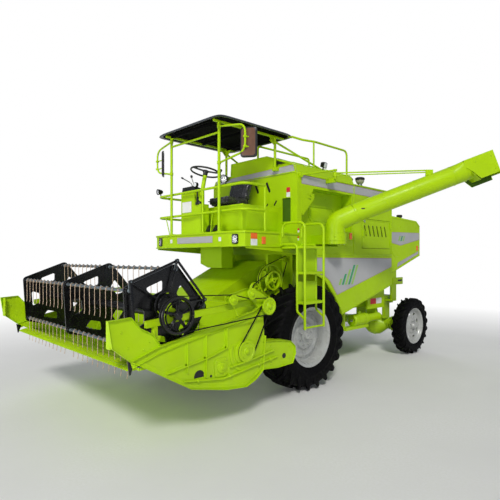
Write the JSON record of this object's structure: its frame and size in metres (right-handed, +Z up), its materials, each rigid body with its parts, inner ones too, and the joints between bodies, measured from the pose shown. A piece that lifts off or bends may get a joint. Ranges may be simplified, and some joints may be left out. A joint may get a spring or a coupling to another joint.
{
  "type": "combine harvester",
  "caption": "Wheeled grain combine: raised header with turning reel, open driver's deck under a canopy, grain tank with swinging unloading auger, steered rear axle.",
  "frame": {"origin": "middle of the footprint of the whole machine's box, on the ground", "axes": "+X to the machine's left, +Y to its rear, so it drives towards -Y, +Z up"},
  "size_m": [4.4732, 7.085, 3.622],
  "materials": {
    "green_paint": "gloss lime green enamel",
    "silver_paint": "silver enamel",
    "black_paint": "satin black",
    "grey_steel": "worn grey tube",
    "bare_steel": "ground steel",
    "tine_steel": "brown lacquered spring wire",
    "tyre": "matt black rubber",
    "belt_rubber": "black belt rubber",
    "seat_vinyl": "black seat vinyl",
    "engine_iron": "grey castings",
    "sticker_silver": "silver-grey film",
    "lamp_glass": "clear lamp glass",
    "amber_plastic": "amber and red reflectors",
    "white_plastic": "white reflectors",
    "mirror_glass": "mirror",
    "brown_plastic": "dark brown mirror backs"
  },
  "bodies": {
    "chassis": {"front_axle": "green_paint", "rear_axle": "green_paint", "chassis_frame": "green_paint", "threshing_body": "green_paint", "left_side_panel": "green_paint", "right_side_panel": "green_paint", "grain_tank": "green_paint", "engine_bay": "green_paint", "engine_block": "engine_iron", "straw_hood": "green_paint", "driver_deck": "green_paint", "battery_box": "green_paint", "seat_box": "green_paint", "driver_seat": "seat_vinyl", "steering_console": "green_paint", "canopy_roof": "black_paint", "canopy_frame": "green_paint", "deck_railing": "green_paint", "mirrors": "green_paint", "ladder": "green_paint", "tank_railing": "green_paint", "auger_turret": "green_paint", "auger_swivel_bracket": "green_paint", "feeder_hangers": "green_paint"},
    "front_left_wheel": {"front_left_tyre": "tyre", "front_left_rim": "silver_paint"},
    "front_right_wheel": {"front_right_tyre": "tyre", "front_right_rim": "silver_paint"},
    "left_knuckle": {"steering_knuckle_left": "green_paint"},
    "right_knuckle": {"steering_knuckle_right": "green_paint"},
    "rear_left_wheel": {"rear_left_tyre": "tyre", "rear_left_rim": "silver_paint"},
    "rear_right_wheel": {"rear_right_tyre": "tyre", "rear_right_rim": "silver_paint"},
    "tie_rod": {"steering_tie_rod": "bare_steel"},
    "steering_wheel": {"steering_wheel": "black_paint"},
    "tank_lid": {"tank_lid": "green_paint"},
    "engine_door": {"engine_door": "green_paint"},
    "header": {"feeder_house": "green_paint", "header_platform": "green_paint", "crop_dividers": "green_paint", "knife_bar": "bare_steel", "header_drive": "green_paint"},
    "header_auger": {"header_auger": "green_paint"},
    "reel_arms": {"reel_arms": "green_paint"},
    "reel": {"reel": "black_paint"},
    "reel_bat_1": {"reel_bat_1": "grey_steel"},
    "reel_bat_2": {"reel_bat_2": "grey_steel"},
    "reel_bat_3": {"reel_bat_3": "grey_steel"},
    "reel_bat_4": {"reel_bat_4": "grey_steel"},
    "reel_bat_5": {"reel_bat_5": "grey_steel"},
    "reel_star": {"reel_star": "black_paint"},
    "unloading_auger": {"auger_elbow": "green_paint", "auger_tube": "green_paint", "auger_stays": "green_paint"},
    "lift_barrels": {"lift_cylinder_barrels": "green_paint"},
    "lift_rods": {"lift_cylinder_rods": "bare_steel"}
  },
  "joints": [
    {"name": "front_left_wheel_spin", "type": "hinge", "parent": "chassis", "child": "front_left_wheel", "pos_m": [0.35841, -0.5575, 0.715], "axis": [1, 0, 0], "continuous": true},
    {"name": "front_right_wheel_spin", "type": "hinge", "parent": "chassis", "child": "front_right_wheel", "pos_m": [-1.72159, -0.5575, 0.715], "axis": [1, 0, 0], "continuous": true},
    {"name": "left_steer", "type": "hinge", "parent": "chassis", "child": "left_knuckle", "pos_m": [0.17841, 2.5425, 0.515], "axis": [0, 0, 1], "range_deg": [-30, 30]},
    {"name": "right_steer", "type": "hinge", "parent": "chassis", "child": "right_knuckle", "pos_m": [-1.54159, 2.5425, 0.515], "axis": [0, 0, 1], "range_deg": [-30, 30]},
    {"name": "rear_left_wheel_spin", "type": "hinge", "parent": "left_knuckle", "child": "rear_left_wheel", "pos_m": [0.36841, 2.5425, 0.515], "axis": [1, 0, 0], "continuous": true},
    {"name": "rear_right_wheel_spin", "type": "hinge", "parent": "right_knuckle", "child": "rear_right_wheel", "pos_m": [-1.73159, 2.5425, 0.515], "axis": [1, 0, 0], "continuous": true},
    {"name": "tie_rod_slide", "type": "slide", "parent": "chassis", "child": "tie_rod", "axis": [1, 0, 0], "range_m": [-0.13, 0.13]},
    {"name": "steering_wheel_turn", "type": "hinge", "parent": "chassis", "child": "steering_wheel", "pos_m": [-0.68159, -1.4075, 2.99], "axis": [0, 0.2079, 0.9781], "range_deg": [-361, 361]},
    {"name": "tank_lid_hinge", "type": "hinge", "parent": "chassis", "child": "tank_lid", "pos_m": [-1.03159, 0.1425, 3.3263], "axis": [0, -1, 0], "range_deg": [0, 110]},
    {"name": "engine_door_hinge", "type": "hinge", "parent": "chassis", "child": "engine_door", "pos_m": [0.27641, 1.9745, 2.2], "axis": [0, 0, 1], "range_deg": [0, 105]},
    {"name": "header_lift", "type": "hinge", "parent": "chassis", "child": "header", "pos_m": [-0.68159, -0.6575, 1.66], "axis": [-1, 0, 0], "range_deg": [-19, 0]},
    {"name": "header_auger_spin", "type": "hinge", "parent": "header", "child": "header_auger", "pos_m": [-0.68159, -2.1575, 0.745], "axis": [1, 0, 0], "continuous": true},
    {"name": "reel_lift", "type": "hinge", "parent": "header", "child": "reel_arms", "pos_m": [-0.68159, -1.7975, 1.315], "axis": [-1, 0, 0], "range_deg": [0, 24]},
    {"name": "reel_spin", "type": "hinge", "parent": "reel_arms", "child": "reel", "pos_m": [-0.68159, -2.9075, 1.262], "axis": [1, 0, 0], "continuous": true},
    {"name": "reel_bat_1_pitch", "type": "hinge", "parent": "reel", "child": "reel_bat_1", "pos_m": [-0.68159, -3.27016, 1.49304], "axis": [1, 0, 0], "continuous": true},
    {"name": "reel_bat_2_pitch", "type": "hinge", "parent": "reel", "child": "reel_bat_2", "pos_m": [-0.68159, -2.79984, 1.6783], "axis": [1, 0, 0], "continuous": true},
    {"name": "reel_bat_3_pitch", "type": "hinge", "parent": "reel", "child": "reel_bat_3", "pos_m": [-0.68159, -2.4783, 1.28825], "axis": [1, 0, 0], "continuous": true},
    {"name": "reel_bat_4_pitch", "type": "hinge", "parent": "reel", "child": "reel_bat_4", "pos_m": [-0.68159, -2.7499, 0.86192], "axis": [1, 0, 0], "continuous": true},
    {"name": "reel_bat_5_pitch", "type": "hinge", "parent": "reel", "child": "reel_bat_5", "pos_m": [-0.68159, -3.2393, 0.98849], "axis": [1, 0, 0], "continuous": true},
    {"name": "reel_star_spin", "type": "hinge", "parent": "reel_arms", "child": "reel_star", "pos_m": [-0.68159, -2.9075, 1.342], "axis": [1, 0, 0], "continuous": true},
    {"name": "auger_swing", "type": "hinge", "parent": "chassis", "child": "unloading_auger", "pos_m": [0.42841, 0.1225, 2.33], "axis": [0, 0, 1], "range_deg": [-45, 45]},
    {"name": "lift_barrel_tilt", "type": "hinge", "parent": "chassis", "child": "lift_barrels", "pos_m": [-0.68159, -0.3575, 0.52], "axis": [-1, 0, 0], "range_deg": [-11.84, 1]},
    {"name": "lift_rod_slide", "type": "slide", "parent": "lift_barrels", "child": "lift_rods", "axis": [0, -0.9826, 0.1858], "range_m": [-0.3715, 0.005]}
  ],
  "couplings": [
    {"joint": "right_steer", "follows": "left_steer", "ratio": 1},
    {"joint": "tie_rod_slide", "follows": "left_steer", "m_per_rad": -0.23396},
    {"joint": "steering_wheel_turn", "follows": "left_steer", "ratio": -12},
    {"joint": "reel_bat_1_pitch", "follows": "reel_spin", "ratio": -1},
    {"joint": "reel_bat_2_pitch", "follows": "reel_spin", "ratio": -1},
    {"joint": "reel_bat_3_pitch", "follows": "reel_spin", "ratio": -1},
    {"joint": "reel_bat_4_pitch", "follows": "reel_spin", "ratio": -1},
    {"joint": "reel_bat_5_pitch", "follows": "reel_spin", "ratio": -1},
    {"joint": "reel_star_spin", "follows": "reel_spin", "ratio": 1},
    {"joint": "lift_barrel_tilt", "follows": "header_lift", "ratio": 0.57028},
    {"joint": "lift_rod_slide", "follows": "header_lift", "m_per_rad": 1.1052}
  ]
}
